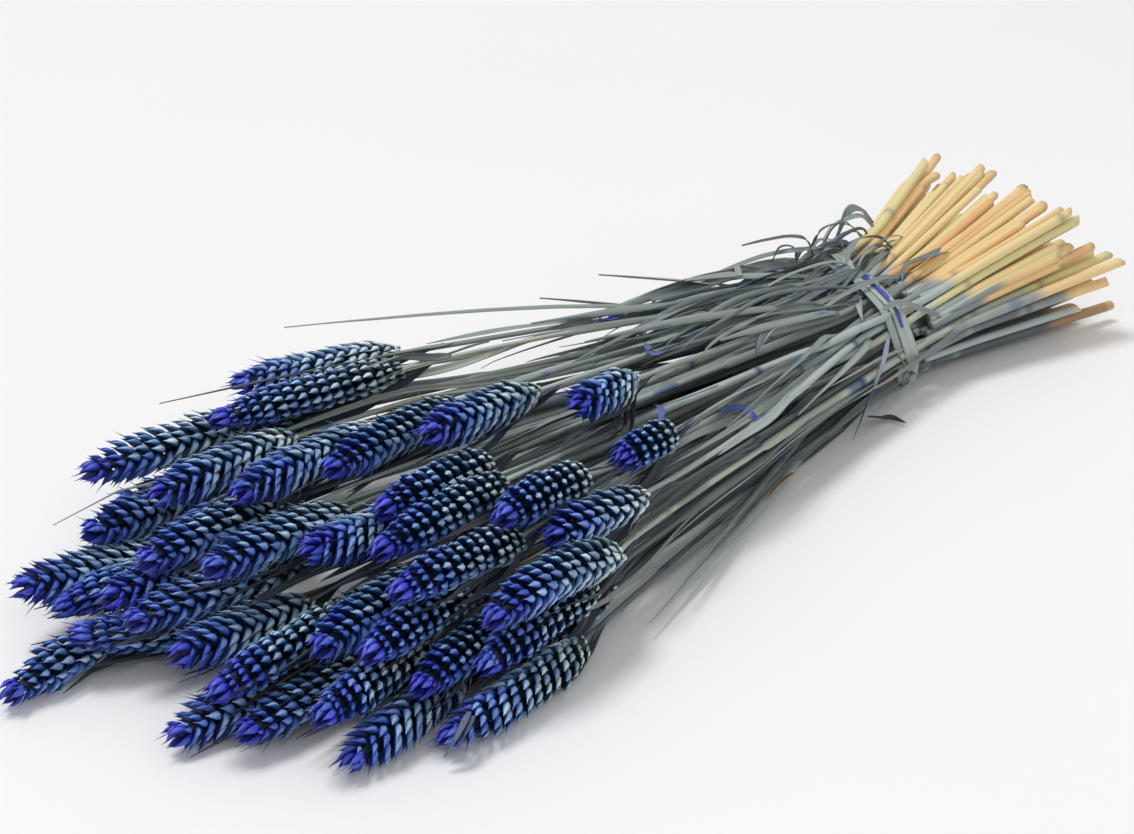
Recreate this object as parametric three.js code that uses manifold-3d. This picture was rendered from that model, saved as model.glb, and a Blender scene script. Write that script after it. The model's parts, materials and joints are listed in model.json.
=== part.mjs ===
// A tied bunch of dyed wheat lying on a table, in millimetres, +Z up.
// The stalks run along X: the ears at -X, the tie at X = 0 and the cut ends at +X.
// Every stalk and leaf keeps a place in each of a row of cross-sections, one every STEP along X,
// where they are discs that push one another apart and rest on the table.
import * as THREE from "three";
import { mergeVertices } from "three/addons/utils/BufferGeometryUtils.js";
import Module from "manifold-3d";

const wasm = await Module();
wasm.setup();

// Ears as they lie in the head of the bunch, each seen from the tie:
// sideways angle in degrees, reach to the tip, height of the tip above the table, length of the ear,
// and how far the ear's foot lies off the straight line from the tie to the tip.
const EARS = [
  [17, 370, 60, 96, 6],
  [10, 400, 68, 112, 14],
  [12, 460, 50, 88, 4],
  [6, 445, 52, 86, 28],
  [7, 475, 36, 80, 34],
  [6, 515, 30, 82, 6],
  [4, 505, 22, 78, 4],
  [1, 495, 36, 80, 10],
  [4, 445, 38, 76, 22],
  [0, 480, 52, 80, 18],
  [0, 430, 68, 96, 20],
  [-3, 395, 76, 98, 26],
  [-6, 355, 86, 80, 8],
  [-4, 470, 60, 80, 0],
  [-7, 435, 62, 72, -4],
  [-8, 400, 68, 78, 6],
  [-12, 430, 74, 92, 12],
  [-14, 440, 60, 86, -2],
  [-15, 375, 66, 68, -6],
  [-17, 355, 56, 66, -16],
  [-12, 290, 86, 52, 10],
  [-17, 295, 68, 46, -6],
  [-18, 415, 44, 92, 0],
  [-17, 420, 28, 90, -4],
  [-18, 450, 8, 96, -2],
  [-18, 400, 12, 92, 6],
  [-15, 485, 8, 82, -4],
  [-14, 490, 30, 80, 4],
  [-14, 460, 42, 78, 6],
  [-16, 450, 22, 76, 2],
  [-12, 470, 46, 78, 10],
  [-9, 505, 32, 86, 12],
  [-10, 500, 14, 80, -4],
  [-7, 515, 8, 76, -8],
  [-1, 495, 34, 92, -24],
  [-4, 490, 26, 74, 6],
  [1, 545, 8, 92, 20],
  [2, 510, 12, 78, -34],
  [14, 440, 22, 80, 0],
  [19, 400, 26, 82, 0],
  [10, 480, 10, 80, 0],
  [4, 440, 10, 82, 0],
  [-5, 425, 12, 80, 0],
  [-11, 420, 12, 80, 0],
  [13, 405, 42, 78, 0],
];

// Leaves that stand clear of the stalks: the ear whose stalk bears the leaf, where along X it leaves
// the stalk, then the sideways angle, reach and height of its tip and the width of the blade,
// and for a bowed leaf the power by which it makes for its tip at once (1 is a straight leaf).
const LEAVES = [
  [0, -105, 18, 345, 84, 6.5],
  [0, -225, 16, 412, 62, 5],
  [3, -270, 8, 488, 44, 5],
  [39, -270, 9, 470, 38, 4.5],
  [39, -90, 24, 250, 22, 7],
  [38, -60, 25, 190, 30, 7],
  [12, -60, -3, 235, 88, 7],
  [10, -75, 5, 260, 84, 7],
  [20, -45, -12, 170, 76, 7],
  [21, -60, -22, 225, 60, 7],
  [25, -75, -24, 300, 16, 6.5],
  [24, -120, -23, 330, 8, 6],
  [19, -45, -26, 160, 40, 7],
  [1, -60, 16, 215, 66, 7],
  [0, -45, 29, 165, 70, 6.5],
  [39, -60, 27, 195, 62, 6.5],
  [1, -15, 25, 120, 66, 7, 0.2],
  [0, -15, 33, 98, 68, 7, 0.2],
  [2, -15, 42, 80, 66, 6.5, 0.2],
  [10, -15, 17, 150, 60, 7, 0.2],
];

// The head and the stalks
const STEP = 15;
const FIRST_X = -570;
const LAST_X = 180;
const EAR_RADIUS = 10.4;
const SMALL_EAR_LENGTH = 70;
const STALK_RADIUS_AT_EAR = 1.35;
const STALK_RADIUS_AT_TIE = 2.1;
const STALK_RADIUS_AT_CUT = 3.1;
const STALK_SIDES = 5;
const BEND_TOLERANCE = 0.38;
const CLEARANCE = 0.8;
const LIFT_OFF_TABLE = 0.4;

// How the stalks settle: rounds of pushing apart, of which the last ones no longer smooth the stalks
const ROUNDS = 900;
const CLOSING_ROUNDS = 140;
const PULL_TO_PLACE = 0.03;
const STIFFNESS = 0.3;

// The waist, where the tie holds the stalks in strands that are pressed together
const STRANDS_IN_ROW = [4, 5, 4];
const STRAND_PITCH_Y = 17.5;
const STRAND_PITCH_Z = 17;
const PRESSED_SPACING = 3;
const WAIST_HEIGHT = 25.5;
const WAIST_SIDE = 3;

// The cut ends, which flare out again behind the tie and end sooner on the far side
const CUT_FLARE = [2.4, 2.1];
const CUT_SIDE = 14;
const CUT_HEIGHT = 42;
const CUT_X = [118, 152];
const CUT_FAR_SIDE_SHORTER = 0.15;
// No cut end reaches past the leaning plane x = first + second * y + third * z
const CUT_PLANE = [244, 0.32, -1.65];

// The tie: a flat band round the waist, with a knot and two loose tails. It stands aslant in plan,
// and its top leans towards the ears by BAND_LEAN for each unit of height.
const BAND_WIDTH = 9;
const BAND_THICKNESS = 1.4;
const BAND_SLANT = 24;
const BAND_LEAN = 0.26;
const BAND_SIDES = 24;
const BAND_GAP = 0.5;
const KNOT_PLACE = [-9, 15];
const KNOT_RADII = [7, 6, 3.6];
const TAIL_WIDTH = 4.4;
const TAIL_THICKNESS = 1;
const TAIL_WAYS = [
  [-22, -14, 7],
  [0, -24, 6],
];

const LEAF_THICKNESS = 0.8;
const LEAF_PIECES = 6;
const LEAF_TWIST = 1.6;
const LEAF_RISE = 0.6;
const SHORTEST_EDGE = 0.05;

const stations = [];
for (let x = FIRST_X; x <= LAST_X; x += STEP) stations.push(x);

// A repeatable draw between low and high.
let seed = 7;
function draw(low, high) {
  seed = (seed * 16807) % 2147483647;
  return low + ((high - low) * seed) / 2147483647;
}

const mix = (a, b, t) => a + (b - a) * t;

// How full an ear is along its length, from its foot at 0 to its tip at 1.
function earFullness(t) {
  const foot = Math.min(1, 0.55 + 2.4 * t);
  const tip = Math.min(1, 0.42 + 2.1 * (1 - t));
  return foot * tip;
}

function stalkRadius(stalk, x) {
  if (x < 0) return mix(STALK_RADIUS_AT_TIE, STALK_RADIUS_AT_EAR, x / stalk.footX);
  return mix(STALK_RADIUS_AT_TIE, STALK_RADIUS_AT_CUT, x / LAST_X);
}

// The room that a stalk or leaf takes in the cross-section at x, or at its own end if that is nearer.
function roomAt(strip, x) {
  const within = THREE.MathUtils.clamp(x, strip.fromX, strip.toX);
  if (strip.leaf) return strip.width / 2;
  if (within > strip.footX) return stalkRadius(strip, within);
  return strip.earRadius * earFullness((strip.footX - within) / (strip.footX - strip.tipX));
}

function makeStalks() {
  return EARS.map(([angle, reach, height, length, lean]) => {
    const turn = THREE.MathUtils.degToRad(angle);
    const tipX = -reach * Math.cos(turn);
    const size = Math.min(1, 0.8 + (0.2 * length) / SMALL_EAR_LENGTH);
    return {
      length,
      lean,
      tipX,
      footX: tipX + length * Math.cos(turn),
      fromX: tipX,
      toX: draw(...CUT_X),
      tip: [reach * Math.sin(turn), height],
      earRadius: EAR_RADIUS * size,
      roll: draw(0, Math.PI),
    };
  });
}

// Sorts the stalks into strands, row by row from the table up and from side to side in a row,
// and gives each its place where the tie presses its strand together.
function gatherIntoStrands(stalks) {
  const count = STRANDS_IN_ROW.reduce((sum, n) => sum + n);
  const share = stalks.length / count;
  const byHeight = [...stalks].sort((a, b) => a.tip[1] - b.tip[1]);
  const strands = [];
  STRANDS_IN_ROW.forEach((inRow, row) => {
    const first = strands.length;
    const inThisRow = byHeight.slice(Math.round(first * share), Math.round((first + inRow) * share));
    inThisRow.sort((a, b) => a.tip[0] - b.tip[0]);
    for (let column = 0; column < inRow; column++) {
      const from = Math.round((first + column) * share) - Math.round(first * share);
      const to = Math.round((first + column + 1) * share) - Math.round(first * share);
      const members = inThisRow.slice(from, to);
      const centreY = WAIST_SIDE + (column - (inRow - 1) / 2) * STRAND_PITCH_Y;
      const centreZ = WAIST_HEIGHT + (row - (STRANDS_IN_ROW.length - 1) / 2) * STRAND_PITCH_Z;
      placeMembers(members, strands.length, centreY, centreZ);
      strands.push(members);
    }
  });
  return strands;
}

// The stalks of a strand stand in a ring round its centre, each turned towards where its ear lies.
function placeMembers(members, strand, centreY, centreZ) {
  const ring = PRESSED_SPACING / (2 * Math.sin(Math.PI / members.length));
  const middle = [0, 1].map((axis) => members.reduce((sum, m) => sum + m.tip[axis], 0) / members.length);
  const towards = (m) => Math.atan2(m.tip[1] - middle[1], m.tip[0] - middle[0]);
  const around = [...members].sort((a, b) => towards(a) - towards(b));
  around.forEach((member, k) => {
    const turn = towards(around[0]) + (k * 2 * Math.PI) / around.length;
    member.strand = strand;
    member.waist = [centreY + ring * Math.cos(turn), centreZ + ring * Math.sin(turn)];
  });
}

// How much of its lean a stalk has at x: it grows up to the ear's foot, and the ear points back.
function leanShare(stalk, x) {
  if (x > stalk.footX) return THREE.MathUtils.smoothstep(x / stalk.footX, 0, 1);
  return Math.max(0, (x - stalk.tipX) / (stalk.footX - stalk.tipX));
}

// The way that a stalk would take if it had the bunch to itself.
function stalkAim(stalk, x) {
  const [waistY, waistZ] = stalk.waist;
  if (x < 0) {
    const t = x / stalk.tipX;
    const off = stalk.lean * leanShare(stalk, x);
    return [mix(waistY, stalk.tip[0], t) + off, mix(waistZ, stalk.tip[1], t)];
  }
  const t = x / CUT_X[1];
  const cutY = CUT_SIDE + waistY * CUT_FLARE[0] + stalk.stray[0];
  const cutZ = CUT_HEIGHT + (waistZ - WAIST_HEIGHT) * CUT_FLARE[1] + stalk.stray[1];
  return [mix(waistY, cutY, t), mix(waistZ, cutZ, t)];
}

function cutBackToPlane(stalk) {
  const beyond = () => {
    const [y, z] = stalkAim(stalk, stalk.toX);
    return stalk.toX - CUT_PLANE[0] - CUT_PLANE[1] * y - CUT_PLANE[2] * z;
  };
  while (beyond() > 0) {
    stalk.toX -= 1;
  }
}

function makeLeaves(stalks) {
  return LEAVES.map(([ear, rootX, angle, reach, height, width, bow = 1]) => {
    const turn = THREE.MathUtils.degToRad(angle);
    const stalk = stalks[ear];
    const root = stalkAim(stalk, rootX);
    const fromX = -reach * Math.cos(turn);
    const tip = [reach * Math.sin(turn), height];
    const twist = draw(-LEAF_TWIST, LEAF_TWIST);
    return { leaf: true, stalk, fromX, toX: rootX, root, tip, width, twist, bow };
  });
}

function leafAim(leaf, x) {
  const t = Math.max(0, (leaf.toX - x) / (leaf.toX - leaf.fromX)) ** leaf.bow;
  return [mix(leaf.root[0], leaf.tip[0], t), mix(leaf.root[1], leaf.tip[1], t ** LEAF_RISE)];
}

// Lets all the strips push one another apart, section by section, and smooths each along its length.
function settle(strips) {
  for (const strip of strips) {
    strip.aim = stations.map((x) => (strip.leaf ? leafAim(strip, x) : stalkAim(strip, x)));
    strip.path = strip.aim.map(([y, z]) => [y, z]);
    strip.room = stations.map((x) => roomAt(strip, x));
    strip.first = stations.findIndex((x) => x >= strip.fromX - STEP);
    strip.last = stations.findLastIndex((x) => x <= strip.toX + (strip.leaf ? 0 : STEP));
  }
  for (let round = 0; round < ROUNDS; round++) {
    if (round < ROUNDS - CLOSING_ROUNDS) strips.forEach(smoothAlong);
    stations.forEach((x, k) => pushApart(strips, x, k));
  }
}

function smoothAlong(strip) {
  const { path, aim, first, last } = strip;
  const before = path.map(([y, z]) => [y, z]);
  for (let k = first; k <= last; k++) {
    for (const axis of [0, 1]) {
      const here = before[k][axis];
      const ahead = k < last ? before[k + 1][axis] : 2 * here - before[k - 1][axis];
      const behind = k > first ? before[k - 1][axis] : 2 * here - before[k + 1][axis];
      path[k][axis] += STIFFNESS * (ahead + behind - 2 * here) + PULL_TO_PLACE * (aim[k][axis] - here);
    }
  }
  holdAtTie(strip);
}

// The tie fixes the stalks at the waist, and a leaf stays on its stalk at its root.
function holdAtTie(strip) {
  if (strip.leaf) {
    const root = stations.findIndex((x) => x >= strip.toX);
    strip.path[root] = [...strip.stalk.path[root]];
    return;
  }
  strip.path[stations.indexOf(0)] = [...strip.waist];
}

function pushApart(strips, x, k) {
  const here = strips.filter((strip) => k >= strip.first && k <= strip.last);
  for (let i = 0; i < here.length; i++) {
    for (let j = i + 1; j < here.length; j++) {
      const [a, b] = [here[i], here[j]];
      if (grownTogether(a, b, x)) continue;
      const dy = b.path[k][0] - a.path[k][0];
      const dz = b.path[k][1] - a.path[k][1];
      const apart = Math.hypot(dy, dz);
      const short = a.room[k] + b.room[k] + CLEARANCE - apart;
      if (short <= 0) continue;
      const share = short / 2 / (apart || 1);
      a.path[k] = [a.path[k][0] - dy * share, a.path[k][1] - dz * share];
      b.path[k] = [b.path[k][0] + dy * share, b.path[k][1] + dz * share];
    }
  }
  for (const strip of here) {
    strip.path[k][1] = Math.max(strip.path[k][1], strip.room[k] + LIFT_OFF_TABLE);
    if (x === 0 || strip.leaf) holdAtTie(strip);
  }
}

// Stalks of one strand touch at the tie, and a leaf touches its own stalk near its root.
function grownTogether(a, b, x) {
  if (a.leaf && a.stalk === b) return x > a.toX - STEP;
  if (b.leaf && b.stalk === a) return x > b.toX - STEP;
  return x === 0 && !a.leaf && !b.leaf && a.strand === b.strand;
}

// The point of a strip at x, between its two nearest cross-sections.
function pointAt(strip, x) {
  const k = THREE.MathUtils.clamp(Math.floor((x - FIRST_X) / STEP), 0, stations.length - 2);
  const t = (x - stations[k]) / STEP;
  const [y0, z0] = strip.path[k];
  const [y1, z1] = strip.path[k + 1];
  return new THREE.Vector3(x, mix(y0, y1, t), mix(z0, z1, t));
}

// A closed surface through rings of equal size, with a point on each end.
// Each four-sided patch is split where it leaves the hollow rather than the ridge.
function skin(rings, startPoint, endPoint, height = () => 0) {
  const sides = rings[0].length;
  const points = [startPoint, ...rings.flat(), endPoint];
  const at = (ring, side) => 1 + ring * sides + (side % sides);
  const faces = [];
  for (let side = 0; side < sides; side++) {
    faces.push(0, at(0, side + 1), at(0, side));
    faces.push(points.length - 1, at(rings.length - 1, side), at(rings.length - 1, side + 1));
  }
  for (let ring = 0; ring < rings.length - 1; ring++) {
    for (let side = 0; side < sides; side++) {
      const [a, b] = [at(ring, side), at(ring, side + 1)];
      const [d, c] = [at(ring + 1, side), at(ring + 1, side + 1)];
      const alongAC = height(ring, side) + height(ring + 1, side + 1);
      const alongBD = height(ring, side + 1) + height(ring + 1, side);
      if (alongAC <= alongBD) faces.push(a, b, c, a, c, d);
      else faces.push(a, b, d, b, c, d);
    }
  }
  const geometry = new THREE.BufferGeometry().setFromPoints(points);
  geometry.setIndex(faces);
  return geometry;
}

// The ring of points with the given radii round centre, seen along forward, and moved along it by shift.
function ringAround(centre, forward, roll, radii, shifts = []) {
  const right = new THREE.Vector3(0, 1, 0).addScaledVector(forward, -forward.y).normalize();
  const up = new THREE.Vector3().crossVectors(forward, right);
  return radii.map((radius, side) => {
    const turn = roll + (side * 2 * Math.PI) / radii.length;
    return centre
      .clone()
      .addScaledVector(right, radius * Math.cos(turn))
      .addScaledVector(up, radius * Math.sin(turn))
      .addScaledVector(forward, shifts[side] ?? 0);
  });
}

// One ear: florets raised from a spindle in two ranks that alternate to the left and right,
// three florets to a spikelet, each leaning forward over the root of the next.
const EAR_COLUMNS = 8;
const FLORET_RISE = 5.7;
const FLORET_ROOT = 0.66;
const RACHIS_LINE = 0.72;
const EAR_FLATNESS = 0.86;
const FLORET_OVERHANG = 0.5;
// Which ring of each pair bears the floret's tip in each column, and null along the rachis.
const FLORET_TURN = [0, 1, null, 0, 1, 0, null, 1];

function earGeometry(stalk) {
  const rows = Math.round(stalk.length / FLORET_RISE);
  const startX = stalk.footX - CLEARANCE;
  const along = (t) => pointAt(stalk, mix(startX, stalk.tipX, t));
  const isTip = (row, side) => FLORET_TURN[side % EAR_COLUMNS] === row % 2;
  const relief = (row, side) => {
    if (FLORET_TURN[side % EAR_COLUMNS] === null) return RACHIS_LINE;
    return isTip(row, side) ? 1 : FLORET_ROOT;
  };
  const rings = [];
  for (let row = 0; row < rows; row++) {
    const t = (row + 0.3) / (rows + 0.6);
    const forward = along(Math.min(1, t + 0.15)).sub(along(Math.max(0, t - 0.15))).normalize();
    const radii = [];
    const shifts = [];
    for (let side = 0; side < EAR_COLUMNS; side++) {
      const turn = (side * 2 * Math.PI) / EAR_COLUMNS;
      const flat = Math.hypot(Math.cos(turn), EAR_FLATNESS * Math.sin(turn));
      radii.push(stalk.earRadius * earFullness(t) * flat * relief(row, side));
      shifts.push(isTip(row, side) ? FLORET_OVERHANG * FLORET_RISE : 0);
    }
    rings.push(ringAround(along(t), forward, stalk.roll, radii, shifts));
  }
  return skin(rings, along(0), along(1), relief);
}

// Where a stalk's tube has its rings: at its ends, and at each station where it bends away
// by more than BEND_TOLERANCE from the straight line between the rings beside it.
function ringPlaces(strip, fromX, toX) {
  const inside = stations.filter((x) => x > fromX + 5 && x < toX - 5);
  const [start, end] = [pointAt(strip, fromX), pointAt(strip, toX)];
  const straight = new THREE.Line3(start, end);
  const strayed = inside.map((x) => {
    const point = pointAt(strip, x);
    return point.distanceTo(straight.closestPointToPoint(point, true, new THREE.Vector3()));
  });
  const worst = Math.max(0, ...strayed);
  if (worst < BEND_TOLERANCE) return [fromX, toX];
  const split = inside[strayed.indexOf(worst)];
  return [...ringPlaces(strip, fromX, split), ...ringPlaces(strip, split, toX).slice(1)];
}

function stalkTube(stalk) {
  const places = ringPlaces(stalk, stalk.footX, stalk.toX);
  const along = new THREE.Vector3(1, 0, 0);
  const rings = places.map((x) => {
    const radii = Array(STALK_SIDES).fill(stalkRadius(stalk, x));
    return ringAround(pointAt(stalk, x), along, stalk.roll, radii);
  });
  return skin(rings, pointAt(stalk, stalk.footX), pointAt(stalk, stalk.toX));
}

// A flat blade that narrows to its tip and twists, with both faces split the same way.
function leafBlade(leaf) {
  const rings = [];
  for (let k = 0; k <= LEAF_PIECES; k++) {
    const t = k / LEAF_PIECES;
    const x = mix(leaf.toX, leaf.fromX, t);
    const half = (leaf.width / 2) * (1 - 0.9 * t ** 2.5) * Math.min(1, 0.6 + 2 * t);
    const turn = leaf.twist * t;
    const across = new THREE.Vector3(0, Math.cos(turn), Math.sin(turn)).multiplyScalar(half);
    const thick = new THREE.Vector3(0, -Math.sin(turn), Math.cos(turn)).multiplyScalar(LEAF_THICKNESS / 2);
    const centre = pointAt(leaf, x);
    rings.push([
      centre.clone().add(across).add(thick),
      centre.clone().add(across).sub(thick),
      centre.clone().sub(across).sub(thick),
      centre.clone().sub(across).add(thick),
    ]);
  }
  return skin(rings, pointAt(leaf, leaf.toX), pointAt(leaf, leaf.fromX));
}

function toSolid(geometry) {
  const bare = geometry.clone();
  bare.deleteAttribute("normal");
  bare.deleteAttribute("uv");
  const merged = mergeVertices(bare, 1e-4);
  return new wasm.Manifold(
    new wasm.Mesh({
      numProp: 3,
      vertProperties: merged.attributes.position.array,
      triVerts: new Uint32Array(merged.index.array),
    }),
  );
}

function toGeometry(solid) {
  const { vertProperties, triVerts } = solid.getMesh();
  const geometry = new THREE.BufferGeometry();
  geometry.setAttribute("position", new THREE.BufferAttribute(vertProperties, 3));
  geometry.setIndex(new THREE.BufferAttribute(triVerts, 1));
  geometry.computeVertexNormals();
  return geometry;
}

// Draws together corners that an edge shorter than SHORTEST_EDGE joins, where that pinches nothing off.
function withoutSlivers(geometry) {
  const { position } = geometry.attributes;
  const point = (v) => new THREE.Vector3().fromBufferAttribute(position, v);
  const index = [...geometry.index.array];
  let faces = [];
  while (index.length) faces.push(index.splice(0, 3));
  const near = ([a, b]) => point(a).distanceTo(point(b)) < SHORTEST_EDGE;
  const around = (v) => new Set(faces.filter((face) => face.includes(v)).flat());
  // Besides its own ends, an edge's ends share only the two corners across from it.
  const canClose = ([a, b]) => {
    const other = around(b);
    return [...around(a)].filter((v) => other.has(v)).length === 4;
  };
  for (;;) {
    const edges = faces.flatMap(([a, b, c]) => [[a, b], [b, c], [c, a]]);
    const edge = edges.filter(near).find(canClose);
    if (!edge) break;
    const moved = faces.map((face) => face.map((v) => (v === edge[1] ? edge[0] : v)));
    faces = moved.filter((face) => new Set(face).size === 3);
  }
  geometry.setIndex(faces.flat());
  return geometry;
}

// Stalks that are pressed together can close off a small hollow between them: this fills it,
// by leaving out each separate skin whose faces look inwards.
function withoutHollows(geometry) {
  const { position } = geometry.attributes;
  const faces = geometry.index.array;
  const skinOf = [...Array(position.count).keys()];
  const find = (v) => {
    while (skinOf[v] !== v) v = skinOf[v];
    return v;
  };
  for (let f = 0; f < faces.length; f += 3) {
    const least = Math.min(...[0, 1, 2].map((corner) => find(faces[f + corner])));
    for (const corner of [0, 1, 2]) skinOf[find(faces[f + corner])] = least;
  }
  const volume = new Map();
  const corner = (k) => new THREE.Vector3().fromBufferAttribute(position, faces[k]);
  for (let f = 0; f < faces.length; f += 3) {
    const [a, b, c] = [corner(f), corner(f + 1), corner(f + 2)];
    const owner = find(faces[f]);
    volume.set(owner, (volume.get(owner) ?? 0) + a.dot(b.cross(c)) / 6);
  }
  const kept = [];
  for (let f = 0; f < faces.length; f += 3) {
    if (volume.get(find(faces[f])) > 0) kept.push(...faces.slice(f, f + 3));
  }
  geometry.setIndex(kept);
  return geometry;
}

function fuse(geometries) {
  const whole = geometries.map(toSolid).reduce((sum, piece) => sum.add(piece));
  return withoutHollows(withoutSlivers(toGeometry(whole)));
}

// The band's outline in its own aslant plane: each side lies clear of the stalk farthest out that way.
function bandOutline(stalks, clear, PathClass) {
  const slant = Math.tan(THREE.MathUtils.degToRad(BAND_SLANT));
  const sideways = new THREE.Vector3(slant, 1, 0).normalize();
  const through = new THREE.Vector3(1, -slant, 0).normalize();
  const held = [];
  for (const stalk of stalks) {
    for (let x = -45; x <= 45; x += 1.5) {
      const point = pointAt(stalk, x);
      const off = point.dot(through) + BAND_LEAN * point.z;
      if (Math.abs(off) < 0.6 * BAND_WIDTH) held.push([point.dot(sideways), point.z]);
    }
  }
  const reach = [];
  for (let side = 0; side < BAND_SIDES; side++) {
    const turn = (side * 2 * Math.PI) / BAND_SIDES;
    const distances = held.map(([y, z]) => y * Math.cos(turn) + z * Math.sin(turn));
    const out = Math.max(...distances) + 1.15 * STALK_RADIUS_AT_TIE + clear;
    // The side that faces straight down lies on the table.
    const isDown = side === (3 * BAND_SIDES) / 4;
    reach.push([turn, isDown ? clear - BAND_GAP - BAND_THICKNESS : out]);
  }
  // Each corner is where two neighbouring sides meet.
  const corners = reach.map(([turn, out], side) => {
    const [nextTurn, nextOut] = reach[(side + 1) % BAND_SIDES];
    const scale = Math.sin(nextTurn - turn);
    const y = (out * Math.sin(nextTurn) - nextOut * Math.sin(turn)) / scale;
    const z = (nextOut * Math.cos(turn) - out * Math.cos(nextTurn)) / scale;
    return new THREE.Vector2(y, z);
  });
  return new PathClass(corners);
}

function bandGeometry(stalks) {
  const shape = bandOutline(stalks, BAND_GAP + BAND_THICKNESS, THREE.Shape);
  shape.holes.push(bandOutline(stalks, BAND_GAP, THREE.Path));
  const geometry = new THREE.ExtrudeGeometry(shape, { depth: BAND_WIDTH, bevelEnabled: false });
  geometry.translate(0, 0, -BAND_WIDTH / 2);
  // The outline is drawn in Y and Z, and its depth runs along X.
  const alongX = new THREE.Matrix4().makeBasis(
    new THREE.Vector3(0, 1, 0),
    new THREE.Vector3(0, 0, 1),
    new THREE.Vector3(1, 0, 0),
  );
  const lean = new THREE.Matrix4().makeShear(0, 0, 0, 0, -BAND_LEAN, 0);
  return geometry.applyMatrix4(alongX).applyMatrix4(lean).rotateZ(-THREE.MathUtils.degToRad(BAND_SLANT));
}

// A loose end of the tie, that rises out of the knot and comes down again.
function tailGeometry(knot, [alongX, alongY, rise]) {
  const route = new THREE.CatmullRomCurve3([
    knot.clone().add(new THREE.Vector3(0, 0, 1)),
    knot.clone().add(new THREE.Vector3(alongX * 0.4, alongY * 0.4, rise)),
    knot.clone().add(new THREE.Vector3(alongX, alongY, 2)),
  ]);
  const strip = new THREE.Shape([
    new THREE.Vector2(-TAIL_THICKNESS / 2, -TAIL_WIDTH / 2),
    new THREE.Vector2(TAIL_THICKNESS / 2, -TAIL_WIDTH / 2),
    new THREE.Vector2(TAIL_THICKNESS / 2, TAIL_WIDTH / 2),
    new THREE.Vector2(-TAIL_THICKNESS / 2, TAIL_WIDTH / 2),
  ]);
  return new THREE.ExtrudeGeometry(strip, { steps: 5, extrudePath: route });
}

function tieGeometry(stalks) {
  const band = bandGeometry(stalks);
  band.computeBoundingBox();
  const knot = new THREE.Vector3(...KNOT_PLACE, band.boundingBox.max.z);
  const lump = new THREE.IcosahedronGeometry(1, 1).scale(...KNOT_RADII).translate(...knot);
  return fuse([band, lump, ...TAIL_WAYS.map((way) => tailGeometry(knot, way))]);
}

const finish = (color, roughness) => new THREE.MeshStandardMaterial({ color, roughness, metalness: 0 });
const dyedEar = () => finish(0x24389a, 0.75);
const dyedStraw = () => finish(0x7f8a86, 0.8);
const raffia = () => finish(0x5f7f86, 0.8);

function makeBunch() {
  const stalks = makeStalks();
  const strands = gatherIntoStrands(stalks);
  for (const stalk of stalks) {
    stalk.stray = [draw(-5, 5), draw(-5, 5)];
    stalk.toX -= CUT_FAR_SIDE_SHORTER * Math.max(0, stalk.waist[0] * CUT_FLARE[0]);
    cutBackToPlane(stalk);
  }
  const leaves = makeLeaves(stalks);
  settle([...stalks, ...leaves]);

  const bunch = new THREE.Group();
  const number = (n) => String(n + 1).padStart(2, "0");
  const add = (name, geometry, material) => {
    const mesh = new THREE.Mesh(geometry, material);
    mesh.name = name;
    bunch.add(mesh);
  };
  stalks.forEach((stalk, n) => add("ear_" + number(n), earGeometry(stalk), dyedEar()));
  strands.forEach((members, n) => {
    const blades = leaves.filter((leaf) => members.includes(leaf.stalk));
    add("strand_" + number(n), fuse([...members.map(stalkTube), ...blades.map(leafBlade)]), dyedStraw());
  });
  add("tie", tieGeometry(stalks), raffia());
  return bunch;
}

// The origin is on the table, under the middle of the bunch.
const bunch = makeBunch();
const box = new THREE.Box3().setFromObject(bunch, true);
const middle = box.getCenter(new THREE.Vector3());
bunch.position.set(-middle.x, -middle.y, -box.min.z);

export default bunch;
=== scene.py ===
"""A tied bunch of blue-dyed wheat on a pale surface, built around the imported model, in metres."""
import json
from math import cos, pi, radians, sin, tan

import bpy
import numpy as np
from numpy.linalg import norm
from mathutils import Matrix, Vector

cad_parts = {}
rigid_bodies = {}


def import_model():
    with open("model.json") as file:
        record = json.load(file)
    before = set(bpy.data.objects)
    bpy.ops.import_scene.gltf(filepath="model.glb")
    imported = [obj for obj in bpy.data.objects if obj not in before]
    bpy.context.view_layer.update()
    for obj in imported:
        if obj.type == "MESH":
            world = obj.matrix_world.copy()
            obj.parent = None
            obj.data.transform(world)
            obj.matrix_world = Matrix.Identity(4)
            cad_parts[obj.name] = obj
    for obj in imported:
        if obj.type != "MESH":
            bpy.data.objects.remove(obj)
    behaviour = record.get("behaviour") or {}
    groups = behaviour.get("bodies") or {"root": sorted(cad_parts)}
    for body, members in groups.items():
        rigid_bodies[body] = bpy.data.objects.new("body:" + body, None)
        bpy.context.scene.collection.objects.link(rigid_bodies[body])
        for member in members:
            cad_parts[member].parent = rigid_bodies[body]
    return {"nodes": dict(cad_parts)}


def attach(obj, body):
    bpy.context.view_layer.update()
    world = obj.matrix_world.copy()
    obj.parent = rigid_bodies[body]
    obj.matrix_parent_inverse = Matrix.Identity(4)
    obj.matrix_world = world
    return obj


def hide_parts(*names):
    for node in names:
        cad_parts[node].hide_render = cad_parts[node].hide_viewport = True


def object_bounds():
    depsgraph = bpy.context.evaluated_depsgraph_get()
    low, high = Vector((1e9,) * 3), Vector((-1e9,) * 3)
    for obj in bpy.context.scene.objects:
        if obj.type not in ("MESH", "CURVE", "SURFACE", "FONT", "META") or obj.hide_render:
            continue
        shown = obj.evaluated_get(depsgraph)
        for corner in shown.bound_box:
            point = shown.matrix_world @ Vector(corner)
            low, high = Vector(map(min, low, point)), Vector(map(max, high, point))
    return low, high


for leftover in list(bpy.data.objects):
    bpy.data.objects.remove(leftover, do_unlink=True)
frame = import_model()
CAD_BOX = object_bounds()

MM = 0.001

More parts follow.
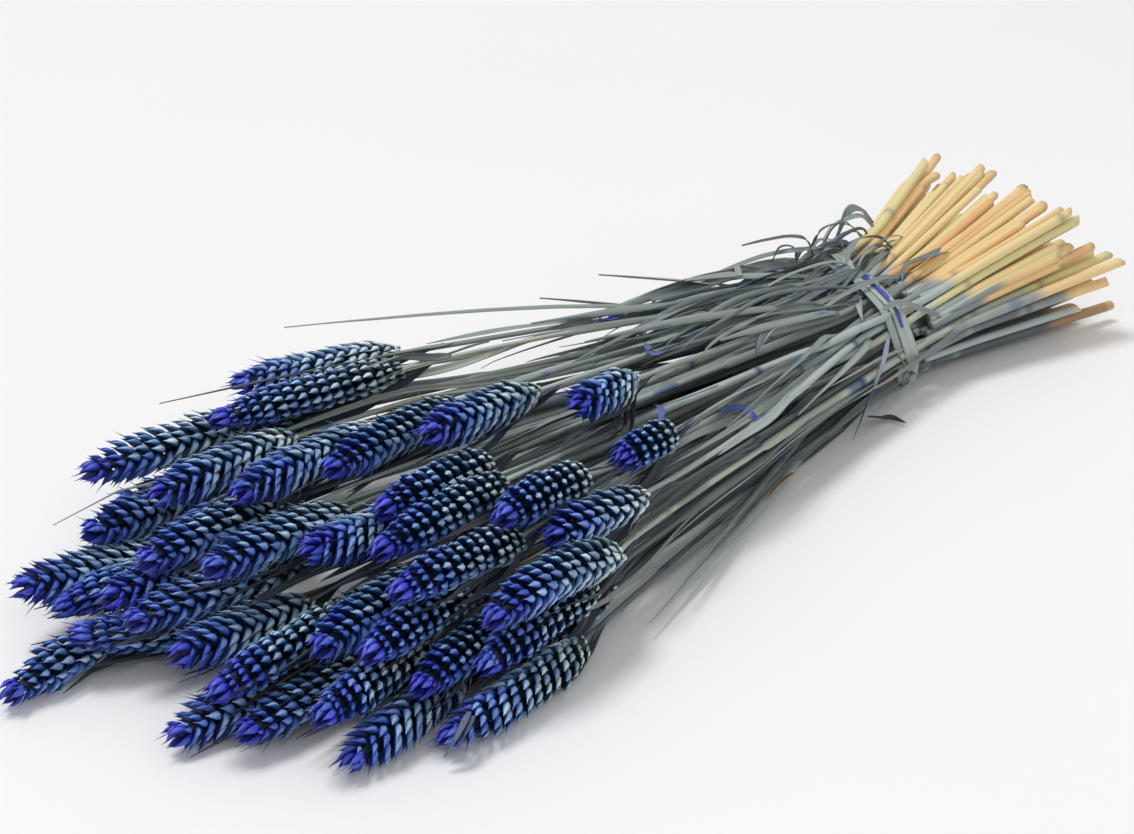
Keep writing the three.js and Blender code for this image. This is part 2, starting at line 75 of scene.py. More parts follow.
# The photograph: its size in pixels, the lens in pixels, and the camera's place seen from the tie
PHOTO = (1134, 834)
LENS_PX = 2400
SENSOR_MM = 36
CAMERA_FROM_TIE = (-0.9483, -0.7983, 0.561)
CAMERA_DOWN = radians(26)
CAMERA_TURN = radians(42)

# The photograph's directions: into it, to its right and up
VIEW_INTO = np.array([
    cos(CAMERA_DOWN) * sin(CAMERA_TURN),
    cos(CAMERA_DOWN) * cos(CAMERA_TURN),
    -sin(CAMERA_DOWN),
])
VIEW_RIGHT = np.array([cos(CAMERA_TURN), -sin(CAMERA_TURN), 0.0])
VIEW_UP = np.cross(VIEW_RIGHT, VIEW_INTO)

# The tie's band stands aslant in plan and leans towards the ears
BAND_SLANT = radians(24)
BAND_LEAN = 0.26
THROUGH = np.array([cos(BAND_SLANT), -sin(BAND_SLANT), 0.0])
SIDEWAYS = np.array([sin(BAND_SLANT), cos(BAND_SLANT), 0.0])
UP = np.array([0.0, 0.0, 1.0])

# Ears: the pitch of their tiers, the greatest length of a short one, and their spikelets' lean
TIER_PITCH = 3.3 * MM
SHORT_EAR = 55 * MM
SPIKELET_LEAN = radians(5)

# How royal blue an ear is: its mean and spread, its fall across the bunch, and a short ear's
ROYAL = (0.45, 0.3)
ROYAL_FALL = 3.0
ROYAL_FROM = 0.02
SHORT_ROYAL = 1.6

# The core of an ear: its radius as a share of the ear's, and that at its foot
RACHIS_SHARE = 0.3
RACHIS_FOOT = 0.14

# Strands: the step between slices, how far a stalk, a leaf and its tip may stray in one step, how a
# tip narrows, a leaf's least count of slices, and how far from the tie the stalks are pressed flat
SLICE_STEP = 5 * MM
FOLLOW_WITHIN = 2.5 * MM
LEAF_WITHIN = 7 * MM
TIP_WITHIN = 3 * MM
TIP_NARROWING = 0.85
LEAST_SLICES = 4
PRESSED_HALF = 30 * MM

# Outlines in a slice: a stalk's is round and not too large, a leaf's is flat, a tip's is small
STALK_ROUNDNESS = 0.72
STALK_AREA = (6.5 * MM) ** 2
LEAF_ROUNDNESS = 0.5
TIP_AREA = 5 * MM**2

# Stalks: ranges, of radii too, and the points about a knot are in millimetres
STALK_SIDES = 10
STALK_STEP = 5 * MM
SHEATH_START = (60, 190)
FIRST_KNOT = (70, 150)
NEXT_KNOT = (110, 180)
NECK_SHEATH_STRAW = ((1.2, 1.5), (1.9, 2.35), (2.5, 3.0))
KNOT_POINTS = (-4, -2, 0, 2, 4)
KNOT_RISE = 0.45 * MM
KNOT_SPREAD = 2.6 * MM

# Cut ends: ranges of slant in radians and of depth in millimetres, and the hollow's share of the radius
CUT_SLANT = (0.1, 0.9)
HOLLOW_DEPTH = (4, 9)
HOLLOW_MOUTH = 0.66
HOLLOW_BOTTOM = 0.6

# Where the dye ends behind the tie, by how high in the picture the stalk is at LEVEL_BEHIND, how
# many millimetres that varies, and how long the dye fades
LEVEL_BEHIND = 45 * MM
DYE_LEVELS = (16 * MM, 28 * MM, 42 * MM, 60 * MM)
DYE_ENDS = (98 * MM, 50 * MM, 20 * MM, 0 * MM)
DYE_SPREAD = 7
DYE_FADE = 12 * MM

# Leaves: those of the solids, the edges of all, a strip's height above the table, and how much
# shade is painted on stalks and strips deep in the bunch
LEAF_THICKNESS = 0.5 * MM
LEAF_FOLD = 0.35
EDGE_THINNING = 0.7
OFF_TABLE = 0.8 * MM
DEEP_PAINTED_SHADE = 0.5

STALK_LEAVES = 170
LEAVES_PER_EAR = 9
FAR_LEAVES = 80
EXTRA_STRAWS = 130

# The grid over the bunch, and how near to it a camera ray has to pass to be laid on it
CELL = 2 * MM
PASSING_BY = 25 * MM

# The tie: the radius of the stalks that it holds, and the knot's place in the photograph
HELD_RADIUS = 2.6 * MM
KNOT_PIXEL = (846, 273)

# The table: how far it lies below the bunch, and half its width
FLOOR_DROP = 0.3 * MM
FLOOR_HALF = 8.0

# The light that comes from all round, and each lamp's name, place, size in metres and watts
WORLD_COLOUR = (0.99, 0.99, 1.0, 1.0)
WORLD_STRENGTH = 0.55
LAMPS = (
    ("key", (-1.1, 2.0, 6.8), 2.6, 265.0),
    ("fill", (-0.9, -2.2, 2.0), 1.6, 15.0),
)


def unit(vectors):
    return vectors / np.maximum(norm(vectors, axis=-1, keepdims=True), 1e-12)


def smooth_step(values, low, high):
    t = np.clip((np.asarray(values, float) - low) / (high - low), 0, 1)
    return t * t * (3 - 2 * t)


def eased(path, rounds):
    """A path with its small unevenness smoothed away and its ends kept."""
    path = np.array(path)
    for _ in range(rounds):
        path[1:-1] = (path[:-2] + 2 * path[1:-1] + path[2:]) / 4
    return path


def run_along(path):
    """How far along a path each of its points lies."""
    return np.concatenate([[0.0], np.cumsum(norm(np.diff(path, axis=0), axis=1))])


# The values that ears and stalks have at each point for their materials
EAR_VALUES = ("along", "husk", "keel", "pick", "royal")
STEM_VALUES = ("lengthways", "around", "pick", "dye", "knot", "inside", "tint", "dark")


class Build:
    """Collects closed pieces of mesh with their per-vertex values, and makes one object of them."""

    def __init__(self, names):
        self.names = names
        self.points, self.faces, self.values = [], [], []
        self.count = 0

    def add(self, points, faces, **values):
        points = np.asarray(points, float).reshape(-1, 3)
        self.points.append(points)
        self.faces += [tuple(int(i) + self.count for i in face) for face in faces]
        rows = [np.broadcast_to(values.get(name, 0.0), len(points)) for name in self.names]
        self.values.append(np.stack(rows, axis=1))
        self.count += len(points)

    def make(self, name, material):
        mesh = bpy.data.meshes.new(name)
        points = np.concatenate(self.points)
        mesh.from_pydata(points.tolist(), [], self.faces)
        mesh.update()
        values = np.concatenate(self.values)
        for column, value_name in enumerate(self.names):
            attribute = mesh.attributes.new(value_name, "FLOAT", "POINT")
            numbers = np.ascontiguousarray(values[:, column], dtype=np.float32)
            attribute.data.foreach_set("value", numbers)
        mesh.shade_smooth()
        mesh.materials.append(material)
        return placed(name, mesh)


def placed(name, data):
    """A new object in the scene."""
    item = bpy.data.objects.new(name, data)
    bpy.context.scene.collection.objects.link(item)
    return item


def capped_faces(rings, columns):
    """The faces between rings of points, closed by one point before the first and one after the last."""
    last = 1 + (rings - 1) * columns
    end = last + columns
    faces = []
    for first in range(1, last, columns):
        for column in range(columns):
            a, b = first + column, first + (column + 1) % columns
            faces.append((a, b, b + columns, a + columns))
    for column in range(columns):
        following = (column + 1) % columns
        faces.append((0, 1 + following, 1 + column))
        faces.append((end, last + column, last + following))
    return faces


# Reading the frame

def welded(node):
    """A node's points without doubles, and its triangles."""
    mesh = frame["nodes"][node].data
    mesh.calc_loop_triangles()
    points = np.empty(len(mesh.vertices) * 3)
    mesh.vertices.foreach_get("co", points)
    faces = np.empty(len(mesh.loop_triangles) * 3, int)
    mesh.loop_triangles.foreach_get("vertices", faces)
    places, where = np.unique(np.round(points.reshape(-1, 3), 6), axis=0, return_inverse=True)
    return places, where.reshape(-1)[faces].reshape(-1, 3)


def loops_at(points, faces, x):
    """The outlines where the plane at x cuts a closed mesh, each as its (y, z) points."""
    side = points[:, 0] > x
    crossing = faces[(side[faces].sum(axis=1) % 3) != 0]
    links = {}
    for face in crossing:
        ends = []
        for i, j in ((0, 1), (1, 2), (2, 0)):
            a, b = int(face[i]), int(face[j])
            if side[a] != side[b]:
                ends.append((min(a, b), max(a, b)))
        links.setdefault(ends[0], []).append(ends[1])
        links.setdefault(ends[1], []).append(ends[0])
    loops = []
    while links:
        start, nexts = next(iter(links.items()))
        loop, here = [start], nexts[0]
        before = start
        while here != start:
            loop.append(here)
            following = [edge for edge in links[here] if edge != before] or [start]
            before, here = here, following[0]
        for edge in loop:
            links.pop(edge, None)
        corners = []
        for a, b in loop:
            t = (x - points[a, 0]) / (points[b, 0] - points[a, 0])
            corners.append(points[a, 1:] + t * (points[b, 1:] - points[a, 1:]))
        loops.append(np.array(corners))
    return loops


def loop_shape(corners):
    """An outline's middle, area and roundness, which is 1 for a circle and near 0 for a flat strip."""
    following = np.roll(corners, -1, axis=0)
    cross = corners[:, 0] * following[:, 1] - following[:, 0] * corners[:, 1]
    area = cross.sum() / 2
    length = norm(following - corners, axis=1).sum()
    if abs(area) < 1e-9:
        return corners.mean(axis=0), 0.0, 0.0
    middle = ((corners + following) * cross[:, None]).sum(axis=0) / (6 * area)
    return middle, abs(area), 4 * pi * abs(area) / length**2


class Ear:
    """An ear's middle line from foot to tip, its size, and the way that its two ranks face."""

    def __init__(self, node):
        points, _ = welded(node)
        centre = points.mean(axis=0)
        direction = np.linalg.svd(points - centre)[2][0]
        direction *= -np.sign(direction[0])
        along = (points - centre) @ direction
        self.low, self.length = along.min(), along.max() - along.min()
        self.fit = np.polyfit(along, points, 2)
        away = points - self.middle((along - self.low) / self.length)
        self.radius = np.percentile(norm(away, axis=1), 88)
        flat = away - np.outer(away @ direction, direction)
        self.rank = np.linalg.svd(flat)[2][0]

    def middle(self, t):
        s = self.low + np.asarray(t, float) * self.length
        return np.stack([np.polyval(self.fit[:, axis], s) for axis in range(3)], axis=-1)

    def axes(self, t):
        """Unit vectors at t: forward, out along the ranks, and out of the ear's face."""
        forward = unit(self.middle(t + 0.02) - self.middle(t - 0.02))
        rank = unit(self.rank - forward * (self.rank @ forward))
        return forward, rank, np.cross(forward, rank)


def ear_fullness(t):
    """How full an ear is along its length, as in the solids."""
    return min(1, 0.6 + 2.4 * t) * min(1, 0.42 + 2.1 * (1 - t))


# Husks

# A husk's rings by how far along each lies and its half width, its depth and bulge, and its tip as
# husk_shape gives it
HUSK_RINGS = ((0.0, 0.5), (0.16, 0.88), (0.36, 1.0), (0.58, 0.88), (0.78, 0.54), (0.92, 0.2))
HUSK_COLUMNS = 6
HUSK_OUTWARDS = 0.95
HUSK_INWARDS = 0.45
HUSK_BULGE = 0.5
HUSK_TIP = (1.0, 0.0, 0.12, 0.8)


def husk_shape():
    """A husk of unit size: how far along, sideways and out each point lies, and how near the keel."""
    points = [(0.0, 0.0, 0.0, 0.0)]
    for place, width in HUSK_RINGS:
        for column in range(HUSK_COLUMNS):
            turn = 2 * pi * column / HUSK_COLUMNS
            depth = cos(turn) * (HUSK_OUTWARDS if cos(turn) > 0 else HUSK_INWARDS)
            out = width * depth + HUSK_BULGE * sin(pi * place)
            points.append((place, width * sin(turn), out, max(0.0, cos(turn))))
    points.append(HUSK_TIP)
    return np.array(points).T


HUSK = husk_shape()
HUSK_FACES = capped_faces(len(HUSK_RINGS), HUSK_COLUMNS)

# The husks of one spikelet, in units of the ear's radius: how far forward, out along the rank and
# out of the face each husk starts and ends, and its half width; a pair has one husk on each face
SPIKELET = [
    ((*start[:2], face * start[2]), (*end[:2], face * end[2]), half_width)
    for start, end, half_width in (
        ((-0.30, 0.00, 0.50), (0.36, 0.40, 0.80), 0.21),
        ((-0.22, 0.18, 0.36), (0.62, 0.80, 0.58), 0.20),
        ((-0.08, 0.34, 0.14), (0.80, 1.05, 0.22), 0.20),
    )
    for face in (1, -1)
]
TIP_SPIKELET = [
    *(
        ((-0.7, rank * 0.2, face * 0.26), (0.7, rank * 0.42, face * 0.42), 0.28)
        for face in (1, -1) for rank in (1, -1)
    ),
    ((-0.5, 0.0, 0.0), (0.95, 0.0, 0.0), 0.34),
    *(((-0.6, rank * 0.3, 0.0), (0.8, rank * 0.4, 0.0), 0.28) for rank in (1, -1)),
]


def add_husk(build, start, end, axis_point, half_width, point_length, values):
    """One husk from start to end that bulges away from axis_point, with a bristle point."""
    lengthways = end - start
    length = norm(lengthways)
    forward = lengthways / length
    out = (start + end) / 2 - axis_point
    out = unit(out - forward * (out @ forward))
    side = np.cross(forward, out)
    along, sideways, outwards, keel = HUSK
    reach = along * length
    reach[-1] += point_length
    points = start + np.outer(reach, forward) + np.outer(sideways * half_width, side)
    points += np.outer(outwards * half_width, out)
    points[:, 2] = np.maximum(points[:, 2], 0.1 * MM * along)
    build.add(points, HUSK_FACES, husk=along, keel=keel, **values)


def make_ear(node, number, material):
    ear = Ear(node)
    rng = np.random.default_rng(100 + number)
    build = Build(EAR_VALUES)
    tiers = int(round(ear.length / TIER_PITCH)) - 1
    royal = np.clip(rng.normal(*ROYAL) - ROYAL_FALL * (ear.middle(0.5)[1] - ROYAL_FROM), 0, 1)
    if ear.length < SHORT_EAR:
        royal = SHORT_ROYAL
    for tier in range(tiers):
        t = (tier + 0.2) / (tiers + 1.4)
        side = 1 if tier % 2 else -1
        size = ear.radius * ear_fullness(t) * rng.uniform(0.97, 1.08)
        add_spikelet(build, ear, rng, t, side, size, SPIKELET, royal)
    tip = (tiers + 0.1) / (tiers + 1.4)
    add_spikelet(build, ear, rng, tip, 1, ear.radius * 0.7, TIP_SPIKELET, royal)
    add_rachis(build, ear)
    return build.make("ear_fine_%02d" % number, material)


def add_spikelet(build, ear, rng, t, side, size, husks, royal):
    forward, rank, face = ear.axes(t)
    lean = rng.normal(0, SPIKELET_LEAN)
    rank, face = rank * cos(lean) + face * sin(lean), face * cos(lean) - rank * sin(lean)
    root = ear.middle(t)
    for start, end, half_width in husks:
        shift = rng.normal(0, 0.045, 3)
        foot, tip = (
            root + size * (along * forward + side * out * rank + across * face)
            for along, out, across in (start, np.array(end) + shift)
        )
        point_length = rng.uniform(0.4, 2.2) * MM
        if rng.uniform() < 0.12 + 0.3 * max(0.0, t - 0.7):
            point_length = rng.uniform(3, 7) * MM
        values = {
            "along": np.clip(t + rng.normal(0, 0.03), 0, 1),
            "pick": rng.uniform(0, 1),
            "royal": royal,
        }
        # A husk bulges away from a point near the ear's axis, by one distance off the root in x, y and z
        off_root = (forward * ((foot + tip) / 2 - root)) @ forward
        add_husk(build, foot, tip, root + off_root, half_width * size, point_length, values)


def add_rachis(build, ear):
    """The core that carries the spikelets, hidden but for glimpses between them."""
    places = np.linspace(0.0, 0.93, 12)
    radii = np.array([RACHIS_SHARE * ear.radius * ear_fullness(t) for t in places])
    radii[0] = RACHIS_FOOT * ear.radius
    path = ear.middle(places)
    rings = path[:, None, :] + radii[:, None, None] * circles(path, 6)[1]
    points = np.concatenate([path[:1], rings.reshape(-1, 3), path[-1:]])
    build.add(points, capped_faces(len(path), 6), along=0.4, pick=0.2)


# Straws and blades

# Across a blade and back: how far towards an edge each point lies, and on which face
BLADE_OUTLINE = (
    (1, 1), (0.5, 1), (0, 1), (-0.5, 1), (-1, 1),
    (-1, -1), (-0.5, -1), (0, -1), (0.5, -1), (1, -1),
)


def path_axes(path):
    """Unit vectors along a path: forward, sideways and up, turning as little as the path does."""
    forward = unit(np.gradient(path, axis=0))
    side = unit(np.cross(UP, forward))
    return forward, side, np.cross(forward, side)


def circles(path, sides):
    """Round each point of a path: the turn of each side, and the unit vectors there."""
    _, side, up = path_axes(path)
    turns = np.linspace(0, 2 * pi, sides, endpoint=False)
    aside, rise = np.cos(turns)[None, :, None], np.sin(turns)[None, :, None]
    return turns, aside * side[:, None, :] + rise * up[:, None, :]


def spread(values, columns, after=1):
    """Values along a path, repeated for its rings' points and for those before and after them."""
    rows = {}
    for name, value in values.items():
        if np.ndim(value):
            value = np.concatenate([value[:1], np.repeat(value, columns), np.full(after, value[-1])])
        rows[name] = value
    return rows


def cut_end(rng):
    """A random cut end: how aslant it is, which way that faces, and how deep its hollow is."""
    return rng.uniform(*CUT_SLANT), rng.uniform(0, 2 * pi), rng.uniform(*HOLLOW_DEPTH) * MM


def add_straw(build, path, radii, cut, **values):
    """A stalk whose last end is cut aslant and hollow, with painted shade towards the hollow's bottom."""
    slant, facing, depth = cut
    turns, circle = circles(path, STALK_SIDES)
    forward = path_axes(path)[0][-1]
    rings = path[:, None, :] + radii[:, None, None] * circle
    tilt = (np.cos(turns - facing) * tan(slant) * radii[-1])[:, None] * forward
    rings[-1] += tilt
    bottom = path[-1] - depth * forward
    mouth = path[-1] + HOLLOW_MOUTH * radii[-1] * circle[-1] + HOLLOW_MOUTH * tilt
    deep = bottom + HOLLOW_BOTTOM * radii[-1] * circle[-1]
    points = np.concatenate([path[:1], rings.reshape(-1, 3), mouth, deep, bottom[None]])
    # Painted shade on the deep ring and the bottom point of the hollow
    inside = np.zeros(len(points))
    inside[-STALK_SIDES - 1 :] = 1.0
    rows = spread(values, STALK_SIDES, 2 * STALK_SIDES + 1)
    build.add(points, capped_faces(len(path) + 2, STALK_SIDES), inside=inside, **rows)


def add_blade(build, path, half_widths, thickness, across, fold, **values):
    """A thin closed strip along a path, with its edges at across and folded along its midrib."""
    forward = unit(np.gradient(path, axis=0))
    normal = unit(np.cross(forward, across))
    half = half_widths[:, None]
    rows = []
    for place, top in BLADE_OUTLINE:
        thick = top * thickness / 2 * (1 - EDGE_THINNING * abs(place) ** 4)
        rows.append(path + place * half * across + (fold * abs(place) * half + thick) * normal)
    columns = len(BLADE_OUTLINE)
    points = np.concatenate([path[:1], np.stack(rows, axis=1).reshape(-1, 3), path[-1:]])
    sideways = np.tile([place for place, top in BLADE_OUTLINE], len(path))
    around = np.concatenate([[0], sideways, [0]])
    build.add(points, capped_faces(len(path), columns), around=around, **spread(values, columns))


# Following the stalks and leaves through the strands

class Strand:
    """The outlines of one strand, slice by slice: its stalks', its leaves' and all small ones."""

    def __init__(self, node):
        points, faces = welded(node)
        self.slices = np.arange(points[:, 0].min() + 0.5 * MM, points[:, 0].max(), SLICE_STEP)
        self.round, self.flat, self.small = [], [], []
        for x in self.slices:
            stalks, leaves, tips = [], [], []
            for loop in loops_at(points, faces, x):
                middle, area, roundness = loop_shape(loop)
                if roundness > STALK_ROUNDNESS and area < STALK_AREA:
                    stalks.append(middle)
                elif area > 0 and roundness < LEAF_ROUNDNESS:
                    leaves.append((middle, loop))
                if area < TIP_AREA:
                    tips.append(middle)
            self.round.append(stalks)
            self.flat.append(leaves)
            self.small.append(tips)


def follow(strand, start, step, stop_x, to_end=False):
    """Follows one stalk from a point (x, y, z) through the slices until stop_x, or to its end."""
    track = [np.array(start)]
    slope = np.zeros(2)
    for x, stalks in list(zip(strand.slices, strand.round))[::step]:
        last = track[-1]
        if (x - last[0]) * step < 0.4 * SLICE_STEP:
            continue
        if (x - stop_x) * step > 0:
            break
        guess = last[1:] + slope * (x - last[0])
        near = sorted(stalks, key=lambda middle: norm(middle - guess))
        within = FOLLOW_WITHIN * (2 if len(track) < 3 else 1)
        found = near and norm(near[0] - guess) < within
        if to_end and not found:
            break
        track.append(np.array([x, *(near[0] if found else guess)]))
        behind = track[max(0, len(track) - 6)]
        if found and len(track) > 2:
            slope = (track[-1][1:] - behind[1:]) / (track[-1][0] - behind[0])
    return track


def strand_tracks(strand, feet, tie_x):
    """The middle lines of a strand's stalks, each from its ear's foot to its cut end."""
    to_tie = [follow(strand, foot, 1, tie_x - PRESSED_HALF) for foot in feet]
    cut_slice = max(k for k in range(len(strand.slices)) if len(strand.round[k]) == len(feet))
    left = []
    for middle in strand.round[cut_slice]:
        start = np.array([strand.slices[cut_slice], *middle])
        inwards = follow(strand, start, -1, tie_x + PRESSED_HALF)
        outwards = follow(strand, start, 1, 1.0, to_end=True)
        left.append(inwards[::-1] + outwards[1:])
    tracks = []
    for front in to_tie:
        slope = (front[-1] - front[-4]) / (front[-1][0] - front[-4][0])
        reach = front[-1] + slope * PRESSED_HALF
        nearest = min(range(len(left)), key=lambda k: norm((left[k][0] - reach)[1:]))
        tracks.append(eased(front + left.pop(nearest), 3))
    return tracks


def leaf_tracks(strand):
    """The leaves that a strand carries, each as its middle line and half-width vectors, root first."""
    open_tracks, done = [], []
    for k in range(len(strand.slices) - 1, -1, -1):
        middles = [middle for middle, _ in strand.flat[k]]
        free = set(range(len(middles)))
        still_open = []
        for track in open_tracks:
            (_, *last), last_half = track[-1]
            gaps = [(norm(middles[n] - last), n) for n in free]
            small = [middle for middle in strand.small[k] if norm(middle - last) < TIP_WITHIN]
            if gaps and min(gaps)[0] < LEAF_WITHIN:
                free.remove(min(gaps)[1])
                track.append(leaf_slice(strand, k, min(gaps)[1]))
            elif small and len(track) > LEAST_SLICES:
                track.append((np.array([strand.slices[k], *small[0]]), TIP_NARROWING * last_half))
            else:
                done.append(track)
                continue
            still_open.append(track)
        open_tracks = still_open + [[leaf_slice(strand, k, n)] for n in sorted(free)]
    return [tuple(zip(*track)) for track in done + open_tracks if len(track) > LEAST_SLICES]


def leaf_slice(strand, k, n):
    """A leaf's middle in slice k, and the vector from there to its edge."""
    middle, loop = strand.flat[k][n]
    away = loop - middle
    across = np.linalg.svd(away)[2][0]
    reach = np.abs(away @ across).max()
    return np.array([strand.slices[k], *middle]), np.array([0.0, *(across * reach)])


# Materials

def rgb(*colour):
    """An sRGB colour of 0 to 255 as Blender's linear values."""
    linear = [((c / 255 + 0.055) / 1.055) ** 2.4 if c > 10 else c / 255 / 12.92 for c in colour]
    return (*linear, 1.0)


class Shader:
    """A node material, with short calls for the nodes that it uses."""

    def __init__(self, name):
        self.material = bpy.data.materials.new(name)
        self.material.use_nodes = True
        self.tree = self.material.node_tree
        self.surface = self.tree.nodes["Principled BSDF"]

    def put(self, socket, value):
        if isinstance(value, bpy.types.NodeSocket):
            self.tree.links.new(value, socket)
        else:
            socket.default_value = value

    def node(self, kind, *values):
        """A new node, with its first inputs set or linked to the values."""
        node = self.tree.nodes.new("ShaderNode" + kind)
        for socket, value in zip(node.inputs, values):
            self.put(socket, value)
        return node

    def value(self, name):
        node = self.node("Attribute")
        node.attribute_name = name
        return node.outputs["Fac"]

    def math(self, operation, first, second):
        node = self.node("Math", first, second)
        node.operation = operation
        return node.outputs[0]

    def times(self, first, second):
        return self.math("MULTIPLY", first, second)

    def band(self, value, low, high, to_low=0.0, to_high=1.0):
        """value, turned smoothly from to_low at low to to_high at high."""
        node = self.node("MapRange", value, low, high, to_low, to_high)
        node.interpolation_type = "SMOOTHSTEP"
        return node.outputs[0]

    def ramp(self, value, *stops):
        """Colours along value: each stop is its place and its red, green and blue."""
        node = self.node("ValToRGB", value)
        elements = node.color_ramp.elements
        while len(elements) < len(stops):
            elements.new(0.5)
        for element, (place, *colour) in zip(elements, stops):
            element.position = place
            element.color = rgb(*colour)
        return node.outputs[0]

    def mix(self, share, first, second, blend="MIX"):
        node = self.node("Mix")
        node.data_type = "RGBA"
        node.blend_type = blend
        self.put(node.inputs[0], share)
        self.put(node.inputs[6], first)
        self.put(node.inputs[7], second)
        return node.outputs[2]

    def combine(self, x, y, z):
        return self.node("CombineXYZ", x, y, z).outputs[0]

    def noise(self, vector, scale, detail=3.0):
        return self.node("TexNoise", vector, 0.0, scale, detail).outputs["Fac"]

    def place(self):
        return self.node("TexCoord").outputs["Object"]

    def bump(self, height, strength, distance):
        node = self.node("Bump", strength, distance)
        self.put(node.inputs["Height"], height)
        self.put(self.surface.inputs["Normal"], node.outputs[0])

    def finish(self, colour, roughness):
        self.put(self.surface.inputs["Base Color"], colour)
        self.put(self.surface.inputs["Roughness"], roughness)
        return self.material


def ear_material():
    shader = Shader("dyed_ear")
    along, husk, keel, pick, royal = (shader.value(value) for value in EAR_VALUES)
    fine = shader.noise(shader.place(), 1100.0)
    cloud = shader.noise(shader.place(), 70.0)
    uneven = shader.math("ADD", along, shader.band(cloud, 0.3, 0.7, -0.1, 0.1))
    uneven = shader.math("ADD", uneven, shader.times(royal, 0.05))
    dye = shader.ramp(
        uneven,
        (0.0, 92, 122, 132), (0.3, 56, 102, 142), (0.6, 44, 92, 156),
        (0.8, 36, 72, 168), (0.93, 36, 52, 172), (1.0, 42, 48, 178),
    )
    # The colour of the painted highlight on the husks, paler towards the ear's foot
    pale = shader.ramp(
        uneven,
        (0.0, 243, 247, 242), (0.3, 220, 236, 240), (0.6, 192, 220, 238),
        (0.8, 132, 172, 234), (0.93, 92, 116, 226), (1.0, 80, 92, 222),
    )
    # Painted highlight: pale colour along each husk's keel away from its root, varied by pick and fine
    # streaks
    painted_keel_highlight = shader.times(shader.band(keel, 0.3, 1.0), shader.band(husk, 0.1, 0.5))
    streak = shader.band(fine, 0.35, 0.65, 0.7, 1.15)
    share = shader.times(painted_keel_highlight, shader.band(pick, 0.0, 1.0, 0.3, 1.15))
    colour = shader.mix(shader.times(share, streak), dye, pale)
    # Painted shade: darker towards each husk's root and on its inner side, where the husks overlap
    foot = shader.band(husk, 0.0, 0.3, 0.25, 1.0)
    painted_crevice_shade = shader.times(foot, shader.band(keel, 0.0, 0.4, 0.5, 1.0))
    colour = shader.mix(1.0, colour, shader.combine(painted_crevice_shade, painted_crevice_shade, painted_crevice_shade), "MULTIPLY")
    shader.bump(fine, 0.3, 0.0004)
    return shader.finish(colour, shader.band(fine, 0.3, 0.7, 0.36, 0.55))


def stem_material(name):
    """Stalks and leaves: dyed grey blue or bare straw, with fine lengthwise veins and painted shade."""
    shader = Shader(name)
    lengthways, around, pick, dye, knot, inside, tint, dark = (shader.value(value) for value in STEM_VALUES)
    offset = shader.times(pick, 40.0)
    sideways = shader.times(around, 9.0)
    lines = shader.combine(shader.times(lengthways, 18.0), sideways, offset)
    veins = shader.noise(lines, 1.6)
    blotches = shader.combine(shader.times(lengthways, 30.0), around, offset)
    patches = shader.noise(blotches, 0.9, 2.0)
    dyed = shader.ramp(
        shader.math("ADD", shader.times(pick, 0.75), shader.times(veins, 0.5)),
        (0.08, 74, 88, 100), (0.35, 118, 130, 132), (0.6, 152, 162, 154),
        (0.85, 172, 184, 184), (1.0, 190, 194, 176),
    )
    straw = shader.ramp(
        shader.math("ADD", shader.times(pick, 0.65), shader.times(veins, 0.45)),
        (0.1, 214, 160, 118), (0.3, 226, 186, 130), (0.6, 234, 206, 150),
        (0.9, 216, 208, 150),
    )
    colour = shader.mix(dye, straw, dyed)
    brown = shader.times(shader.band(patches, 0.66, 0.73), dye)
    blue = shader.times(shader.band(patches, 0.37, 0.3), dye)
    # Patches, knots and tint are the stalks' own colours; the near-black mark is painted shade deep in the
    # bunch, and the brown one is painted shade in the hollows of cut ends
    for share, strength, over in (
        (brown, 0.8, (186, 146, 98)), (blue, 0.7, (62, 92, 150)), (knot, 0.85, (38, 56, 104)),
        (tint, 1.0, (32, 74, 184)), (dark, 1.0, (22, 28, 40)), (inside, 0.9, (88, 64, 40)),
    ):
        colour = shader.mix(shader.times(share, strength), colour, rgb(*over))
    shader.bump(veins, 0.6, 0.0006)
    return shader.finish(colour, shader.band(veins, 0.3, 0.7, 0.45, 0.7))


def floor_material():
    shader = Shader("pale_surface")
    cloud = shader.noise(shader.place(), 3.0, 2.0)
    return shader.finish(shader.mix(cloud, rgb(236, 236, 236), rgb(241, 241, 241)), 0.55)


# The camera, the floor and the light

def underside(node):
    """The middle of a node's lowest flat spot."""
    points, _ = welded(node)
    low = points[points[:, 2] < points[:, 2].min() + 2 * MM]
    return (low.min(axis=0) + low.max(axis=0)) / 2


